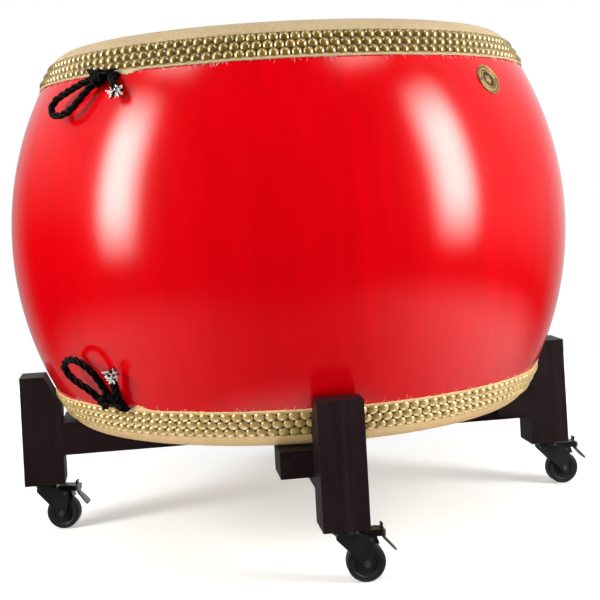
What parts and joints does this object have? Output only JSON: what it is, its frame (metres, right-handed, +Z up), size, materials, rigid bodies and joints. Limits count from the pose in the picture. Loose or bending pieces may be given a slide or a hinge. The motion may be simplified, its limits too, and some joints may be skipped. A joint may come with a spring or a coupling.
{
  "type": "barrel drum on wheeled stand",
  "caption": "Large lacquered barrel drum with nailed hide heads, rope handles and a round badge, on a low cross stand of dark wood with swivelling braked casters.",
  "frame": {"origin": "on the floor, under the drum's axis", "axes": "+Z up along the drum's axis; -Y towards the first pair of rope handles; the four posts stand at the corners between the axes"},
  "size_m": [1.3156, 1.3156, 1.112],
  "materials": {
    "lacquer": "glossy red lacquer over wood",
    "hide": "pale cow hide, satin",
    "nail_brass": "domed brass nails, polished",
    "badge_brass": "aged brass with raised rings",
    "rope": "black twisted rope",
    "dark_wood": "very dark brown lacquered wood",
    "fork_steel": "black coated steel",
    "zinc": "zinc plated steel",
    "tyre": "smooth black rubber",
    "hub": "black moulded plastic",
    "pedal": "dark grey pressed steel"
  },
  "bodies": {
    "stand": {"beam_upper": "dark_wood", "beam_lower": "dark_wood", "post_screws": "zinc", "caster_screws": "zinc", "post_front_right": "dark_wood", "post_back_right": "dark_wood", "post_back_left": "dark_wood", "post_front_left": "dark_wood", "block_front_right": "dark_wood", "block_back_right": "dark_wood", "block_back_left": "dark_wood", "block_front_left": "dark_wood", "plate_front_right": "zinc", "plate_back_right": "zinc", "plate_back_left": "zinc", "plate_front_left": "zinc", "king_pin_front_right": "zinc", "king_pin_back_right": "zinc", "king_pin_back_left": "zinc", "king_pin_front_left": "zinc"},
    "drum": {"shell": "lacquer", "top_head": "hide", "bottom_head": "hide", "nails_top_1": "nail_brass", "nails_top_2": "nail_brass", "nails_top_3": "nail_brass", "nails_bottom_1": "nail_brass", "nails_bottom_2": "nail_brass", "nails_bottom_3": "nail_brass", "badge_plate": "badge_brass", "badge_nails": "zinc", "rope_a_upper": "rope", "rope_a_lower": "rope", "rope_b_upper": "rope", "rope_b_lower": "rope", "tail_a_upper": "rope", "tail_a_lower": "rope", "tail_b_upper": "rope", "tail_b_lower": "rope"},
    "caster_front_right": {"fork_front_right": "fork_steel", "axle_front_right": "zinc"},
    "wheel_front_right": {"hub_front_right": "hub", "tyre_front_right": "tyre"},
    "brake_front_right": {"brake_front_right": "pedal"},
    "caster_back_right": {"fork_back_right": "fork_steel", "axle_back_right": "zinc"},
    "wheel_back_right": {"hub_back_right": "hub", "tyre_back_right": "tyre"},
    "brake_back_right": {"brake_back_right": "pedal"},
    "caster_back_left": {"fork_back_left": "fork_steel", "axle_back_left": "zinc"},
    "wheel_back_left": {"hub_back_left": "hub", "tyre_back_left": "tyre"},
    "brake_back_left": {"brake_back_left": "pedal"},
    "caster_front_left": {"fork_front_left": "fork_steel", "axle_front_left": "zinc"},
    "wheel_front_left": {"hub_front_left": "hub", "tyre_front_left": "tyre"},
    "brake_front_left": {"brake_front_left": "pedal"}
  },
  "joints": [
    {"name": "drum_lift_off", "type": "slide", "parent": "stand", "child": "drum", "axis": [0, 0, 1], "range_m": [0, 0.4]},
    {"name": "swivel_front_right", "type": "hinge", "parent": "stand", "child": "caster_front_right", "pos_m": [0.4324, -0.4324, 0.095], "axis": [0, 0, 1], "continuous": true},
    {"name": "wheel_spin_front_right", "type": "hinge", "parent": "caster_front_right", "child": "wheel_front_right", "pos_m": [0.46117, -0.40461, 0.0385], "axis": [-0.6947, 0.7193, 0], "continuous": true},
    {"name": "brake_press_front_right", "type": "hinge", "parent": "caster_front_right", "child": "brake_front_right", "pos_m": [0.46836, -0.39766, 0.084], "axis": [-0.6947, 0.7193, 0], "range_deg": [0, 7]},
    {"name": "swivel_back_right", "type": "hinge", "parent": "stand", "child": "caster_back_right", "pos_m": [0.4324, 0.4324, 0.095], "axis": [0, 0, 1], "continuous": true},
    {"name": "wheel_spin_back_right", "type": "hinge", "parent": "caster_back_right", "child": "wheel_back_right", "pos_m": [0.45968, 0.46165, 0.0385], "axis": [-0.7314, 0.682, 0], "continuous": true},
    {"name": "brake_press_back_right", "type": "hinge", "parent": "caster_back_right", "child": "brake_back_right", "pos_m": [0.4665, 0.46896, 0.084], "axis": [-0.7314, 0.682, 0], "range_deg": [0, 7]},
    {"name": "swivel_back_left", "type": "hinge", "parent": "stand", "child": "caster_back_left", "pos_m": [-0.4324, 0.4324, 0.095], "axis": [0, 0, 1], "continuous": true},
    {"name": "wheel_spin_back_left", "type": "hinge", "parent": "caster_back_left", "child": "wheel_back_left", "pos_m": [-0.40461, 0.46117, 0.0385], "axis": [-0.7193, 0.6947, 0], "continuous": true},
    {"name": "brake_press_back_left", "type": "hinge", "parent": "caster_back_left", "child": "brake_back_left", "pos_m": [-0.39766, 0.46836, 0.084], "axis": [-0.7193, 0.6947, 0], "range_deg": [0, 7]},
    {"name": "swivel_front_left", "type": "hinge", "parent": "stand", "child": "caster_front_left", "pos_m": [-0.4324, -0.4324, 0.095], "axis": [0, 0, 1], "continuous": true},
    {"name": "wheel_spin_front_left", "type": "hinge", "parent": "caster_front_left", "child": "wheel_front_left", "pos_m": [-0.39847, -0.4112, 0.0385], "axis": [-0.5299, 0.848, 0], "continuous": true},
    {"name": "brake_press_front_left", "type": "hinge", "parent": "caster_front_left", "child": "brake_front_left", "pos_m": [-0.38999, -0.4059, 0.084], "axis": [-0.5299, 0.848, 0], "range_deg": [0, 7]}
  ]
}
